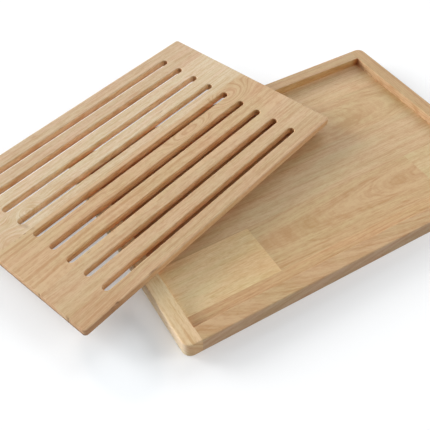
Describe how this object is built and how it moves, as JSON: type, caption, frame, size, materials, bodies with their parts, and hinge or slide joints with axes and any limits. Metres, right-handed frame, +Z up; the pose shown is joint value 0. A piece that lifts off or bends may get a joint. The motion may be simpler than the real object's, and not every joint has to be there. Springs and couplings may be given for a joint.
{
  "type": "bread board",
  "caption": "Wooden bread board: a slotted cutting grid that lifts off a rimmed crumb tray, here laid askew across the tray's back left corner.",
  "frame": {"origin": "middle of the crumb tray's underside, which rests on the table", "axes": "+X along the tray's length to the right, +Y across the tray from front to back, +Z up"},
  "size_m": [0.6435, 0.4627, 0.031],
  "materials": {
    "rail_wood": "smooth sanded hardwood, bare",
    "floor_wood": "smooth sanded hardwood, bare",
    "floor_wood_reddish": "smooth sanded hardwood, bare",
    "grid_wood": "smooth sanded hardwood, bare",
    "grid_wood_light": "smooth sanded hardwood, bare",
    "grid_wood_reddish": "smooth sanded hardwood, bare"
  },
  "bodies": {
    "tray": {"end_rail_left": "rail_wood", "end_rail_right": "rail_wood", "long_rail_front": "rail_wood", "long_rail_back": "rail_wood", "floor_stave_1": "floor_wood_reddish", "floor_stave_2_left": "floor_wood", "floor_stave_2_middle": "floor_wood_reddish", "floor_stave_2_right": "floor_wood", "floor_stave_3": "floor_wood", "floor_stave_4": "floor_wood", "floor_stave_5": "floor_wood"},
    "grid": {"grid_stave_1": "grid_wood_reddish", "grid_stave_2": "grid_wood", "grid_stave_3": "grid_wood", "grid_stave_4": "grid_wood_light", "grid_stave_5": "grid_wood"}
  },
  "joints": [
    {"name": "grid_lift", "type": "slide", "parent": "tray", "child": "grid", "axis": [0, 0, 1], "range_m": [0, 0.06]}
  ]
}
